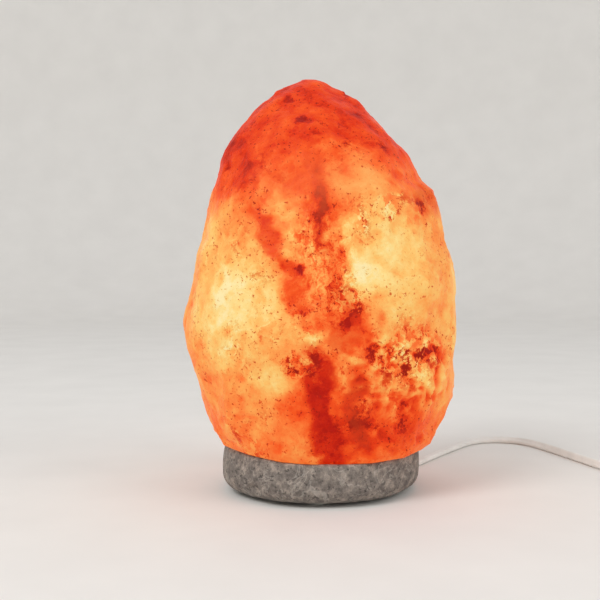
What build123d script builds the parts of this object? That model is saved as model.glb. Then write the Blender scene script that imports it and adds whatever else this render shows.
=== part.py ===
from build123d import *
import math
import os

# Salt crystal lamp, in millimetres. The origin is on the table under the middle of the lamp, +Z is up,
# +X is to the viewer's right and +Y goes away from the viewer. A rough salt crystal stands on a round
# stone base. A clip-in lampholder with its bulb fills the bore from below, and a flat twin cord runs
# from it through a groove under the base, over the table to a switch, a tied coil and a plug.

os.makedirs("parts", exist_ok=True)

ON_FLOOR = (Align.CENTER, Align.CENTER, Align.MIN)


def groove_line(reach):
    """X and Y on the groove's line, that far from the lamp's axis."""
    turn = math.radians(groove_angle)
    return reach * math.cos(turn), reach * math.sin(turn)


# ---------------------------------------------------------------- clearances
bore_gap = 0.35        # clip to the wall of the bore
running_gap = 0.3      # between pieces that move past each other
pin_gap = 0.06         # clip or rocker on its pin, on the radius
thread_gap = 0.2       # bulb cap in the screw shell, on the radius
coil_gap = 0.6         # between neighbouring turns, sideways and up

# ---------------------------------------------------------------- salt crystal
crystal_height = 205.2
crystal_half_width = 76.4
crystal_half_depth = 65.0
crystal_facets = 16         # corners round each level
hew_depth = 0.035           # how far the corners stray from an ellipse, as a share
hew_swell = 0.5             # how much of that strays outwards everywhere
hew_turn = 2.9              # how the stray changes from corner to corner round a level
hew_rise = 1.7              # and from level to level
# Each level: its height as a share of crystal_height, and how far it reaches left, right, front and
# back, as shares of crystal_half_width and crystal_half_depth.
crystal_levels = [
    (0.000, 0.700, 0.770, 0.840, 0.800),
    (0.044, 0.780, 0.860, 0.885, 0.855),
    (0.100, 0.845, 0.935, 0.925, 0.895),
    (0.182, 0.905, 0.980, 0.950, 0.940),
    (0.267, 0.965, 0.980, 0.990, 0.975),
    (0.345, 1.000, 1.000, 1.000, 1.000),
    (0.408, 0.955, 0.995, 0.990, 0.985),
    (0.456, 0.900, 0.985, 0.975, 0.960),
    (0.563, 0.862, 0.915, 0.920, 0.910),
    (0.670, 0.810, 0.861, 0.850, 0.820),
    (0.726, 0.757, 0.745, 0.790, 0.750),
    (0.791, 0.700, 0.640, 0.700, 0.655),
    (0.859, 0.596, 0.471, 0.570, 0.520),
    (0.918, 0.455, 0.335, 0.420, 0.380),
    (0.964, 0.300, 0.165, 0.260, 0.220),
    (0.985, 0.205, 0.070, 0.175, 0.145),
    (1.000, 0.120, 0.005, 0.085, 0.065),
]
# The hammer left flat places all round. Each faces its own way, and the golden angle spreads them evenly.
hewn_places = 60
hewn_turn = 137.5           # degrees round the axis from one place to the next
hewn_lowest_angle = -20.0   # degrees that the lowest place faces up
hewn_highest_angle = 67.0   # and the highest
hewn_shallow = 1.0          # the least that a place takes off
hewn_deep = 3.4             # and the most
hewn_wave = 77.0            # degrees by which that changes from one place to the next
bore_radius = 23.0
bore_depth = 128.0          # above the crystal's flat underside

# ---------------------------------------------------------------- stone base and its feet
base_radius = 55.5
base_thickness = 21.0
base_lower_round = 8.0
base_upper_round = 1.2
groove_width = 8.0
groove_height = 5.0
groove_angle = 43.0         # degrees from +X towards +Y, where the cord leaves
foot_count = 4
foot_radius = 5.5
foot_height = 3.0
foot_recess = 1.0
foot_round = 0.8
foot_circle_radius = 38.0

# ---------------------------------------------------------------- screws from the base into the crystal
base_screw_count = 3
base_screw_step = 90.0      # degrees between the screws, the groove taking the fourth place
base_screw_circle_radius = 34.0
base_screw_radius = 2.0
base_screw_length = 30.0
base_screw_head_radius = 4.0
base_screw_head_height = 2.6
base_screw_hole_radius = 2.3
counterbore_radius = 4.5
counterbore_depth = 8.0
anchor_radius = 4.0
anchor_length = 20.0
driver_slot = 0.8           # width of every screw's slot, and its depth

# ---------------------------------------------------------------- cord
cord_width = 5.2
cord_thickness = 3.2
lead_radius = 1.1           # one insulated lead, split from the cord
inner_bend_radius = 14.0    # the bend under the lampholder

# ---------------------------------------------------------------- lampholder
neck_radius = 5.0
neck_bore_radius = 3.6
neck_bottom = 17.0
nut_flats = 16.0
nut_height = 3.0
bracket_bottom = 22.0
bracket_thickness = 1.2
bracket_width = 14.0
holder_radius = 14.0
holder_wall = 2.0
cap_height = 17.0
body_height = 27.0
body_pocket_depth = 8.0     # the insert sits in this
mouth_radius = 8.6
insert_thickness = 8.0
insert_gap = 0.1
shell_height = 14.0
shell_wall = 0.4
contact_radius = 2.2
contact_height = 1.8
terminal_spread = 6.0       # from the axis to the middle of a terminal
terminal_size = 5.0
terminal_drop = 6.0
terminal_screw_radius = 1.2
terminal_head_radius = 1.9
clamp_height = 4.0
clamp_thickness = 3.0
clamp_length = 14.0
clamp_screw_radius = 1.0
clamp_screw_spread = 4.8
lead_spread = 1.3           # from the cord's middle to each lead

# ---------------------------------------------------------------- spring clips
clip_width = 7.0
clip_thickness = 0.6
clip_pin_radius = 0.8
clip_pin_reach = 16.6       # from the axis to a pin
clip_pin_lift = 2.4         # from the bracket's top to a pin
clip_barrel_wall = 0.7
clip_knee_rise = 20.0       # from the pin to where the clip touches the bore
clip_knee_round = 3.0       # above and below the knee, where the strip turns
clip_tip_rise = 34.0
clip_tip_reach = 18.4
clip_side_gap = 0.2         # between a clip's barrel and the bracket's ears
ear_thickness = 1.0

# ---------------------------------------------------------------- bulb
thread_pitch = 2.82
thread_turns = 5
cap_crest_radius = 6.8
thread_depth = 0.4
cap_bore_radius = 5.6
tip_radius = 2.4
tip_height = 1.5
insulator_height = 3.0
bulb_cap_height = 18.0
bulb_length = 85.0          # tip contact to the top of the glass
glass_radius = 12.5
glass_wall = 0.7
glass_neck_radius = 6.5
glass_neck_height = 2.0
glass_shoulder_height = 9.0
stem_radius = 2.4
stem_flare_height = 6.0
stem_height = 22.0
filament_wire_radius = 0.25
support_wire_radius = 0.3
filament_half_span = 5.5
filament_rise = 4.0
filament_height = 57.0      # above the tip contact
support_spread = 1.4
support_straight = 2.0      # the wires' upright start on the stem

# ---------------------------------------------------------------- inline switch
switch_length = 60.0
switch_width = 25.0
switch_height = 17.0
switch_corner = 6.0
switch_edge_round = 1.5
switch_entry_height = 5.0   # height of the joint between the shells, and of the cord in it
switch_wall = 1.6
rocker_length = 17.0
rocker_width = 10.0
rocker_height = 9.0
rocker_round = 0.8
rocker_swing_gap = 1.0      # beside the rocker's ends, which swing outwards
rocker_pin_radius = 1.0
rocker_pin_height = 13.0
rocker_tip_angle = 16.0     # between on and off; at rest it is on
switch_screw_radius = 1.3
switch_screw_head_radius = 2.4
switch_screw_head_height = 1.4
switch_screw_inset = 9.0
switch_screw_offset = 7.6
switch_boss_radius = 2.6
contact_bar_thickness = 0.8
contact_bar_width = 4.0
contact_bar_length = 13.0
contact_bar_spread = 3.2

# ---------------------------------------------------------------- coil, ties and the runs beside it
coil_turns = 7.5
coil_mean_radius = 28.2
coil_pitch = cord_thickness + coil_gap
layer_step = cord_width + coil_gap
twist_length = 26.0         # run in which the flat cord turns on its edge
twist_stations = 7
tie_width = 5.0
tie_thickness = 0.8
tie_gap = 0.3
tie_turns = (90.0, 270.0)   # degrees round the coil from where the cord comes in

# ---------------------------------------------------------------- plug
plug_thickness = 13.6
plug_length = 36.0
plug_nose_width = 33.0
plug_tail_width = 17.0
plug_waist = 0.42           # share of plug_length at which it has its full width
plug_round = 2.0
boot_length = 24.0
boot_start_wall = 0.9
boot_end_wall = 2.6
plug_pin_radius = 2.0
plug_pin_length = 19.0
plug_pin_spacing = 18.6
plug_pin_sleeve = 10.0
plug_pin_core_radius = 1.3
plug_sleeve_radius = 1.7
plug_pin_root = 8.0
plug_pin_tip_round = 1.0

# The cord's route over the table from the groove's mouth to the switch, as chosen points. The first
# two lie on the groove's own line.
groove_lead = 2.5           # how far the cord's inner part comes out of the groove
first_run = 22.0
groove_mouth = base_radius + groove_lead
route_floor = cord_thickness / 2
lead_route = [
    (*groove_line(groove_mouth), route_floor),
    (*groove_line(groove_mouth + first_run), route_floor),
    (72.2, 79.4, route_floor),
    (89.5, 108.7, route_floor),
    (107.5, 136.4, route_floor),
    (126.5, 141.9, route_floor),
    (144.5, 133.5, route_floor),
    (156.5, 101.5, route_floor),
    (166.5, 66.0, route_floor),
    (177.0, 33.0, route_floor),
    (185.3, 17.0, switch_entry_height),
    (190.2, 7.6, switch_entry_height),
]
arc_share = 0.45            # of the shorter run beside a corner, taken by the corner's arc

# ---------------------------------------------------------------- levels that follow from the sizes
base_bottom = foot_height - foot_recess
seat_height = base_bottom + base_thickness
cap_bottom = bracket_bottom + bracket_thickness
body_bottom = cap_bottom + cap_height
insert_top = body_bottom + body_pocket_depth
bulb_tip = insert_top + contact_height + thread_gap
shell_crest_radius = cap_crest_radius + thread_gap
clip_pin_height = cap_bottom + clip_pin_lift
barrel_bore_radius = clip_pin_radius + pin_gap
barrel_radius = barrel_bore_radius + clip_barrel_wall
coil_low = tie_thickness + tie_gap + cord_width / 2
coil_outer = coil_mean_radius + coil_pitch * coil_turns / 4
coil_inner = coil_outer - coil_pitch * coil_turns / 2


def save(name, *solids):
    """Write one sub-part, made of one or more separate solids."""
    export_step(solids[0] if len(solids) == 1 else Compound(children=list(solids)), f"parts/{name}.step")


def polar(radius, angle, height=0.0):
    """A place at an angle in degrees round the lamp's axis."""
    turn = math.radians(angle)
    return Vector(radius * math.cos(turn), radius * math.sin(turn), height)


def rod(radius, height, bottom, place=(0, 0)):
    """An upright cylinder."""
    return Pos(place[0], place[1], bottom) * Cylinder(radius, height, align=ON_FLOOR)


def tube(radius, bore, height, bottom):
    """An upright tube."""
    return rod(radius, height, bottom) - rod(bore, height, bottom)


def turned(points):
    """A solid of revolution round Z, from (radius, height) corners."""
    outline = make_face(Polyline([(radius, 0, height) for radius, height in points], close=True))
    return revolve(outline, Axis.Z)


def slotted_head(radius, height, bottom):
    """A screw's head with its slot, which opens downwards."""
    slot = Pos(0, 0, bottom) * Box(2 * radius, driver_slot, 2 * driver_slot)
    return rod(radius, height, bottom) - slot


# ================================================================ crystal, base and what joins them
def crystal_ring(index, level):
    """The corners of one level, round from the right side."""
    share, left, right, front, back = level
    middle_x = (right - left) / 2 * crystal_half_width
    middle_y = (back - front) / 2 * crystal_half_depth
    half_x = (right + left) / 2 * crystal_half_width
    half_y = (back + front) / 2 * crystal_half_depth
    corners = []
    for step in range(crystal_facets):
        turn = 2 * math.pi * step / crystal_facets
        # The hewing fades at the four sides, so that the reaches above stay true.
        stray = math.sin(2 * turn) ** 2 * (hew_swell + math.sin(hew_rise * index + hew_turn * step))
        out = 1 + hew_depth * stray
        corners.append(Vector(
            middle_x + half_x * out * math.cos(turn),
            middle_y + half_y * out * math.sin(turn),
            seat_height + share * crystal_height,
        ))
    return corners


def hewn_block(rings):
    """A block cut by the plane of every hewn place. No plane passes inside the left or right side at
    any level, or the front or back of the widest one."""
    corners = [corner for ring in rings for corner in ring]
    quarter = crystal_facets // 4
    kept = [side for ring in rings for side in ring[::2 * quarter]]
    kept += max(rings, key=lambda ring: ring[0].X)[::quarter]
    lowest = math.sin(math.radians(hewn_lowest_angle))
    highest = math.sin(math.radians(hewn_highest_angle))
    cube = 3 * crystal_height
    block = Box(cube, cube, cube)
    for place in range(hewn_places):
        turn = math.radians(hewn_turn * place)
        up = lowest + (highest - lowest) * place / (hewn_places - 1)
        level = math.sqrt(1 - up * up)
        facing = Vector(level * math.cos(turn), level * math.sin(turn), up)
        wave = (1 + math.sin(math.radians(hewn_wave * place))) / 2
        depth = hewn_shallow + (hewn_deep - hewn_shallow) * wave
        farthest = max(facing.dot(corner) for corner in corners)
        reach = max(farthest - depth, max(facing.dot(side) for side in kept))
        block = split(block, Plane(origin=facing * reach, z_dir=facing), keep=Keep.BOTTOM)
    return block


def base_screw_places():
    return [groove_angle + base_screw_step * (place + 1) for place in range(base_screw_count)]


def salt_crystal():
    rings = [crystal_ring(index, level) for index, level in enumerate(crystal_levels)]
    crystal = loft([make_face(Polyline(ring, close=True)) for ring in rings], ruled=True)
    crystal &= hewn_block(rings)
    crystal -= rod(bore_radius, bore_depth, seat_height)
    for angle in base_screw_places():
        place = tuple(polar(base_screw_circle_radius, angle))
        crystal -= rod(anchor_radius, anchor_length, seat_height, place)
    return crystal


def foot_angles():
    return [groove_angle + 360 / foot_count * (place + 0.5) for place in range(foot_count)]


def stone_base():
    disc = rod(base_radius, base_thickness, base_bottom)
    rims = disc.edges().filter_by(GeomType.CIRCLE).sort_by(Axis.Z)
    disc = fillet(rims[0], base_lower_round)
    disc = fillet(disc.edges().filter_by(GeomType.CIRCLE).sort_by(Axis.Z)[-1], base_upper_round)
    disc -= rod(bore_radius, base_thickness, base_bottom)
    groove = Pos(base_radius / 2, 0, base_bottom) * Box(
        base_radius, groove_width, groove_height, align=ON_FLOOR)
    disc -= Rot(0, 0, groove_angle) * groove
    for angle in foot_angles():
        disc -= rod(foot_radius, foot_recess, base_bottom, tuple(polar(foot_circle_radius, angle)))
    for angle in base_screw_places():
        place = tuple(polar(base_screw_circle_radius, angle))
        disc -= rod(base_screw_hole_radius, base_thickness, base_bottom, place)
        disc -= rod(counterbore_radius, counterbore_depth, base_bottom, place)
    return disc


def base_feet():
    foot = rod(foot_radius, foot_height, 0)
    foot = fillet(foot.edges().filter_by(GeomType.CIRCLE).sort_by(Axis.Z)[0], foot_round)
    return [Pos(*polar(foot_circle_radius, angle)) * foot for angle in foot_angles()]


def base_screws():
    under_head = base_bottom + counterbore_depth
    screw = slotted_head(base_screw_head_radius, base_screw_head_height, under_head - base_screw_head_height)
    screw += rod(base_screw_radius, base_screw_length, under_head)
    return [Pos(*polar(base_screw_circle_radius, angle)) * screw for angle in base_screw_places()]


def screw_anchors():
    anchor = tube(anchor_radius, base_screw_radius, anchor_length, seat_height)
    return [Pos(*polar(base_screw_circle_radius, angle)) * anchor for angle in base_screw_places()]


save("salt_crystal", salt_crystal())
save("stone_base", stone_base())
save("base_feet", *base_feet())
save("base_screws", *base_screws())
save("screw_anchors", *screw_anchors())


# ================================================================ lampholder
def holder_cap():
    """The lower cup of the lampholder, with the threaded neck that the cord enters by."""
    cup = rod(holder_radius, cap_height, cap_bottom)
    cup -= rod(holder_radius - holder_wall, cap_height - holder_wall, cap_bottom + holder_wall)
    cup += rod(neck_radius, cap_bottom - neck_bottom, neck_bottom)
    return cup - rod(neck_bore_radius, cap_bottom + holder_wall - neck_bottom, neck_bottom)


def holder_body():
    """The upper barrel, with a pocket for the insert and a mouth round the screw shell."""
    barrel = rod(holder_radius, body_height, body_bottom)
    barrel -= rod(holder_radius - holder_wall, body_pocket_depth, body_bottom)
    barrel -= rod(mouth_radius, body_height - body_pocket_depth, insert_top)
    return barrel


def holder_insert():
    bottom = insert_top - insert_thickness
    disc = rod(holder_radius - holder_wall - insert_gap, insert_thickness, bottom)
    for side in (-1, 1):
        disc -= rod(lead_radius + running_gap, insert_thickness, bottom, (0, side * terminal_spread))
    return Rot(0, 0, groove_angle) * disc


def screw_shell():
    """The brass shell with the thread's waves inside, on a ring that sits on the insert."""
    outer = shell_crest_radius + thread_depth + shell_wall
    top = insert_top + shell_height
    waves = [(shell_crest_radius, top)]
    for half_turn in range(1, 2 * int((shell_height - shell_wall) / thread_pitch)):
        deep = thread_depth if half_turn % 2 else 0
        waves.append((shell_crest_radius + deep, top - half_turn * thread_pitch / 2))
    floor = insert_top + shell_wall
    ring = [(shell_crest_radius, floor), (contact_radius + 2 * running_gap, floor)]
    ring += [(contact_radius + 2 * running_gap, insert_top), (outer, insert_top), (outer, top)]
    return turned(waves + ring)


def terminal_blocks():
    block = Pos(0, 0, body_bottom - terminal_drop) * Box(
        terminal_size, terminal_size, terminal_drop, align=ON_FLOOR)
    block -= rod(lead_radius, terminal_drop, body_bottom - terminal_drop)
    screw_hole = Pos(0, 0, body_bottom - terminal_drop / 2) * Rot(0, 90, 0) * Cylinder(
        terminal_screw_radius, terminal_size / 2, align=ON_FLOOR)
    block -= screw_hole
    turn = Rot(0, 0, groove_angle)
    return [turn * Pos(0, side * terminal_spread, 0) * block for side in (-1, 1)]


def terminal_screws():
    """Each clamps its lead from the side that faces away from the cord's groove."""
    reach = terminal_size / 2 - lead_radius
    shank = Pos(lead_radius, 0, 0) * Rot(0, 90, 0) * Cylinder(terminal_screw_radius, reach, align=ON_FLOOR)
    head = Pos(terminal_size / 2, 0, 0) * Rot(0, 90, 0) * slotted_head(
        terminal_head_radius, terminal_screw_radius, 0)
    turn = Rot(0, 0, groove_angle)
    height = body_bottom - terminal_drop / 2
    return [turn * Pos(0, side * terminal_spread, height) * (shank + head) for side in (-1, 1)]


def cord_clamp():
    """Two bars on the cap's floor that pinch the flat sides of the cord."""
    bars = []
    for side in (-1, 1):
        middle = side * (cord_thickness + clamp_thickness) / 2
        bar = Pos(middle, 0, cap_bottom + holder_wall) * Box(
            clamp_thickness, clamp_length, clamp_height, align=ON_FLOOR)
        for end in (-1, 1):
            hole = Pos(middle, end * clamp_screw_spread, cap_bottom + holder_wall + clamp_height / 2)
            bar -= hole * Rot(0, 90, 0) * Cylinder(clamp_screw_radius, clamp_thickness)
        bars.append(Rot(0, 0, groove_angle) * bar)
    return bars


def clamp_screws():
    length = cord_thickness + 2 * clamp_thickness
    shank = Rot(0, 90, 0) * Cylinder(clamp_screw_radius, length)
    head = Pos(length / 2, 0, 0) * Rot(0, 90, 0) * rod(2 * clamp_screw_radius, clamp_screw_radius, 0)
    height = cap_bottom + holder_wall + clamp_height / 2
    turn = Rot(0, 0, groove_angle)
    return [turn * Pos(0, end * clamp_screw_spread, height) * (shank + head) for end in (-1, 1)]


def clip_bracket():
    """A steel strip under the cap, with two ears at each end that hold the clip's pin."""
    half_length = clip_pin_reach + barrel_radius
    strip = Pos(0, 0, bracket_bottom) * Box(
        2 * half_length, bracket_width, bracket_thickness, align=ON_FLOOR)
    strip -= rod(neck_radius, bracket_thickness, bracket_bottom)
    ear_rise = clip_pin_lift + clip_pin_radius + ear_thickness
    for side in (-1, 1):
        for edge in (-1, 1):
            ear_middle = edge * (clip_width / 2 + clip_side_gap + ear_thickness / 2)
            ear = Pos(side * clip_pin_reach, ear_middle, cap_bottom) * Box(
                2 * barrel_radius, ear_thickness, ear_rise, align=ON_FLOOR)
            hole = Pos(side * clip_pin_reach, ear_middle, clip_pin_height) * Rot(90, 0, 0) * Cylinder(
                clip_pin_radius, ear_thickness)
            strip += ear - hole
    return strip


def clip_pins():
    pin_length = clip_width + 2 * clip_side_gap + 3 * ear_thickness
    pin = Rot(90, 0, 0) * Cylinder(clip_pin_radius, pin_length)
    return [Pos(side * clip_pin_reach, 0, clip_pin_height) * pin for side in (-1, 1)]


def bracket_nut():
    outline = RegularPolygon(nut_flats / 2, 6, major_radius=False)
    nut = Pos(0, 0, bracket_bottom - nut_height) * extrude(outline, nut_height)
    return nut - rod(neck_radius, nut_height, bracket_bottom - nut_height)


def strip_outline(middles, thickness):
    """The closed outline of a bent strip, from the points down its middle, in X and Z."""
    sides = ([], [])
    for index, point in enumerate(middles):
        before, after = middles[max(index - 1, 0)], middles[min(index + 1, len(middles) - 1)]
        along = Vector(after[0] - before[0], 0, after[1] - before[1]).normalized()
        across = Vector(-along.Z, 0, along.X) * (thickness / 2)
        middle = Vector(point[0], 0, point[1])
        sides[0].append(middle + across)
        sides[1].append(middle - across)
    return make_face(Polyline(sides[0] + sides[1][::-1], close=True))


def spring_clip(side):
    """One spring strip: a barrel on the pin, a knee that bears on the bore, and a tip turned in."""
    knee_reach = math.sqrt((bore_radius - bore_gap) ** 2 - (clip_width / 2) ** 2) - clip_thickness / 2
    foot_reach = clip_pin_reach + barrel_radius - clip_thickness / 2
    middles = [
        (foot_reach, clip_pin_height),
        (foot_reach + clip_thickness, clip_pin_height + barrel_radius + clip_thickness),
        (knee_reach - clip_thickness, clip_pin_height + clip_knee_rise - clip_knee_round),
        (knee_reach, clip_pin_height + clip_knee_rise),
        (knee_reach - clip_thickness, clip_pin_height + clip_knee_rise + clip_knee_round),
        (clip_tip_reach, clip_pin_height + clip_tip_rise),
    ]
    strip = extrude(strip_outline(middles, clip_thickness), clip_width / 2, dir=(0, 1, 0), both=True)
    place = Pos(clip_pin_reach, 0, clip_pin_height) * Rot(90, 0, 0)
    clip = strip + place * Cylinder(barrel_radius, clip_width)
    clip -= place * Cylinder(barrel_bore_radius, clip_width)
    return clip if side > 0 else mirror(clip, Plane.YZ)


save("holder_cap", holder_cap())
save("holder_body", holder_body())
save("holder_insert", holder_insert())
save("screw_shell", screw_shell())
save("centre_contact", rod(contact_radius, contact_height, insert_top))
save("terminal_blocks", *terminal_blocks())
save("terminal_screws", *terminal_screws())
save("cord_clamp", *cord_clamp())
save("clamp_screws", *clamp_screws())
save("clip_bracket", clip_bracket())
save("clip_pins", *clip_pins())
save("bracket_nut", bracket_nut())
save("clip_left", spring_clip(-1))
save("clip_right", spring_clip(1))


# ================================================================ bulb
def bulb_cap():
    """The screw cap, with the thread's waves outside."""
    bottom = bulb_tip + tip_height + insulator_height
    top = bulb_tip + tip_height + insulator_height + bulb_cap_height
    waves = [(cap_crest_radius - thread_depth, bottom)]
    for half_turn in range(1, 2 * thread_turns):
        deep = 0 if half_turn % 2 else thread_depth
        waves.append((cap_crest_radius - deep, bottom + half_turn * thread_pitch / 2))
    rim = [(cap_crest_radius, top), (cap_bore_radius, top), (cap_bore_radius, bottom)]
    return turned(waves + rim)


def bulb_insulator():
    return Pos(0, 0, bulb_tip + tip_height) * Cone(
        tip_radius, cap_crest_radius - thread_depth, insulator_height, align=ON_FLOOR)


def glass_solid(inset):
    """The glass's outer form, or its inner one if it is set in by the wall."""
    bottom = bulb_tip + tip_height + insulator_height + bulb_cap_height
    shoulder = bottom + glass_neck_height
    top = bulb_tip + bulb_length - inset
    side = glass_radius - inset
    neck = glass_neck_radius - inset
    dome_start = (side, top - side)
    lines = [
        Polyline((0, bottom), (neck, bottom), (neck, shoulder),
                 (side, shoulder + glass_shoulder_height), dome_start),
        RadiusArc(dome_start, (0, top), -side),
        Line((0, top), (0, bottom)),
    ]
    outline = make_face(Curve() + lines)
    return revolve(Plane.XZ * outline, Axis.Z)


def bulb_stem():
    bottom = bulb_tip + tip_height + insulator_height + bulb_cap_height
    flare = Cone(glass_neck_radius - glass_wall, stem_radius, stem_flare_height, align=ON_FLOOR)
    return Pos(0, 0, bottom) * flare + rod(stem_radius, stem_height, bottom)


def wire(points, bend, radius):
    """A bent wire along corners that share one bend."""
    line = FilletPolyline(*points, radius=bend)
    start = Plane(origin=line @ 0, z_dir=line % 0)
    return sweep(start * Circle(radius), path=line)


def filament_level():
    return bulb_tip + filament_height


def support_wires():
    """They rise from the stem and meet the filament's ends from outside."""
    stem_top = bulb_tip + tip_height + insulator_height + bulb_cap_height + stem_height
    reach = filament_half_span + filament_wire_radius + support_wire_radius
    wires = []
    for side in (-1, 1):
        points = [
            (side * support_spread, 0, stem_top),
            (side * support_spread, 0, stem_top + support_straight),
            (side * reach, 0, filament_level() - filament_rise),
            (side * reach, 0, filament_level() + filament_wire_radius),
        ]
        wires.append(wire(points, 2 * support_wire_radius, support_wire_radius))
    return wires


def bulb_filament():
    level, span = filament_level(), filament_half_span
    points = [
        (-span, 0, level),
        (-span / 2, 0, level + filament_rise),
        (0, 0, level + filament_rise / 4),
        (span / 2, 0, level + filament_rise),
        (span, 0, level),
    ]
    return wire(points, 2 * filament_wire_radius, filament_wire_radius)


save("bulb_cap", bulb_cap())
save("bulb_tip_contact", rod(tip_radius, tip_height, bulb_tip))
save("bulb_insulator", bulb_insulator())
save("bulb_glass", glass_solid(0) - glass_solid(glass_wall))
save("bulb_stem", bulb_stem())
save("bulb_support_wires", *support_wires())
save("bulb_filament", bulb_filament())


# ================================================================ cord
def cord_section():
    return SlotOverall(cord_width, cord_thickness)


def report_volume(name, solid, length):
    expected = length * cord_section().area
    print(f"{name}: length {length:.1f} mm, volume {solid.volume:.1f}, section by length {expected:.1f} mm3")


def corner_radii(points):
    """For each corner of a route, the arc that its two runs allow."""
    radii = []
    for before, corner, after in zip(points, points[1:], points[2:]):
        run_in, run_out = Vector(*corner) - Vector(*before), Vector(*after) - Vector(*corner)
        half_turn = math.radians(run_in.get_angle(run_out)) / 2
        radii.append(arc_share * min(run_in.length, run_out.length) / math.tan(half_turn))
    return radii


def cord_inner():
    """From the clamp in the cap down the neck, round under it and out along the groove."""
    clamp_top = cap_bottom + holder_wall + clamp_height
    bend_top = route_floor + inner_bend_radius
    line = FilletPolyline(
        (0, 0, clamp_top), (0, 0, route_floor), (groove_mouth, 0, route_floor), radius=inner_bend_radius)
    start = Plane(origin=(0, 0, clamp_top), x_dir=(0, 1, 0), z_dir=(0, 0, -1))
    solid = sweep(start * cord_section(), path=line)
    report_volume("cord_inner", solid, line.length)
    print(f"cord_inner: bend of {inner_bend_radius:.1f} mm from {bend_top:.1f} mm above the table")
    return Rot(0, 0, groove_angle) * solid


def lead_wire(side):
    """One insulated lead, from the end of the cord to its terminal."""
    clamp_top = cap_bottom + holder_wall + clamp_height
    block_bottom = body_bottom - terminal_drop
    level = (clamp_top + block_bottom) / 2
    points = [
        (0, side * lead_spread, clamp_top),
        (0, side * lead_spread, level - lead_radius),
        (0, side * terminal_spread, level + lead_radius),
        (0, side * terminal_spread, body_bottom),
    ]
    return Rot(0, 0, groove_angle) * wire(points, lead_radius, lead_radius)


def cord_lead():
    radii = corner_radii(lead_route)
    print("cord_lead: radii of the corners in mm:", ", ".join(f"{radius:.1f}" for radius in radii))
    line = FilletPolyline(*lead_route, radius=radii)
    start = Plane(origin=line @ 0, x_dir=(line % 0).cross(Vector(0, 0, 1)), z_dir=line % 0)
    solid = sweep(start * cord_section(), path=line)
    report_volume("cord_lead", solid, line.length)
    return solid


def twisted_run(name, length, start_height, end_height, start_tilt, end_tilt):
    """A straight run along +X in which the flat cord turns about its own line, from tilt to tilt."""
    sections = []
    for station in range(twist_stations):
        share = station / (twist_stations - 1)
        tilt = math.radians(start_tilt + (end_tilt - start_tilt) * share)
        height = start_height + (end_height - start_height) * share
        plane = Plane(
            origin=(length * share, 0, height), x_dir=(0, math.cos(tilt), math.sin(tilt)), z_dir=(1, 0, 0))
        sections.append(plane * cord_section())
    solid = loft(sections)
    report_volume(name, solid, math.hypot(length, end_height - start_height))
    return solid


def heading(start, end):
    """The direction from one place to another over the table, in degrees from +X towards +Y."""
    return math.degrees(math.atan2(end[1] - start[1], end[0] - start[0]))


switch_heading = heading(lead_route[-2], lead_route[-1])
at_switch = Pos(lead_route[-1][0], lead_route[-1][1], 0) * Rot(0, 0, switch_heading)

save("cord_inner", cord_inner())
save("lead_live", lead_wire(1))
save("lead_neutral", lead_wire(-1))
save("cord_lead", cord_lead())


# ================================================================ inline switch, from x = 0 along +X
def switch_outline(inset):
    return Pos(switch_length / 2, 0, 0) * RectangleRounded(
        switch_length - 2 * inset, switch_width - 2 * inset, switch_corner - inset)


def switch_screw_places():
    far = switch_length - switch_screw_inset
    return [(switch_screw_inset, switch_screw_offset), (far, -switch_screw_offset)]


def lead_holes():
    """Two through holes for the leads, in both end walls."""
    return [
        Pos(switch_length / 2, side * lead_spread, switch_entry_height)
        * Rot(0, 90, 0) * Cylinder(lead_radius, switch_length)
        for side in (-1, 1)
    ]


def switch_base():
    shell = extrude(switch_outline(0), switch_entry_height)
    shell = fillet(shell.faces().sort_by(Axis.Z)[0].edges(), switch_edge_round)
    shell -= Pos(0, 0, switch_wall) * extrude(switch_outline(switch_wall), switch_entry_height)
    for place in switch_screw_places():
        shell += rod(switch_boss_radius, switch_entry_height, 0, place)
        shell -= rod(switch_screw_radius, switch_entry_height, 0, place)
        shell -= rod(switch_screw_head_radius, switch_screw_head_height, 0, place)
    return shell - lead_holes()


def switch_cover():
    rise = switch_height - switch_entry_height
    shell = Pos(0, 0, switch_entry_height) * extrude(switch_outline(0), rise)
    shell = fillet(shell.faces().sort_by(Axis.Z)[-1].edges(), switch_edge_round)
    shell -= Pos(0, 0, switch_entry_height) * extrude(switch_outline(switch_wall), rise - switch_wall)
    for place in switch_screw_places():
        shell += rod(switch_boss_radius, rise - switch_wall, switch_entry_height, place)
        shell -= rod(switch_screw_radius, rise / 2, switch_entry_height, place)
    window_length = rocker_length + 2 * rocker_swing_gap
    shell -= Pos(switch_length / 2, 0, switch_height) * Box(
        window_length, rocker_width + 2 * running_gap, 2 * switch_wall)
    lug_drop = switch_height - switch_wall - rocker_pin_height + 2 * rocker_pin_radius
    for side in (-1, 1):
        lug_middle = side * (rocker_width / 2 + running_gap + switch_wall / 2)
        lug = Pos(switch_length / 2, lug_middle, switch_height - switch_wall) * Box(
            4 * rocker_pin_radius, switch_wall, lug_drop, align=(Align.CENTER, Align.CENTER, Align.MAX))
        hole = Pos(switch_length / 2, lug_middle, rocker_pin_height) * Rot(90, 0, 0) * Cylinder(
            rocker_pin_radius, switch_wall)
        shell += lug - hole
    return shell - lead_holes()


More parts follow.
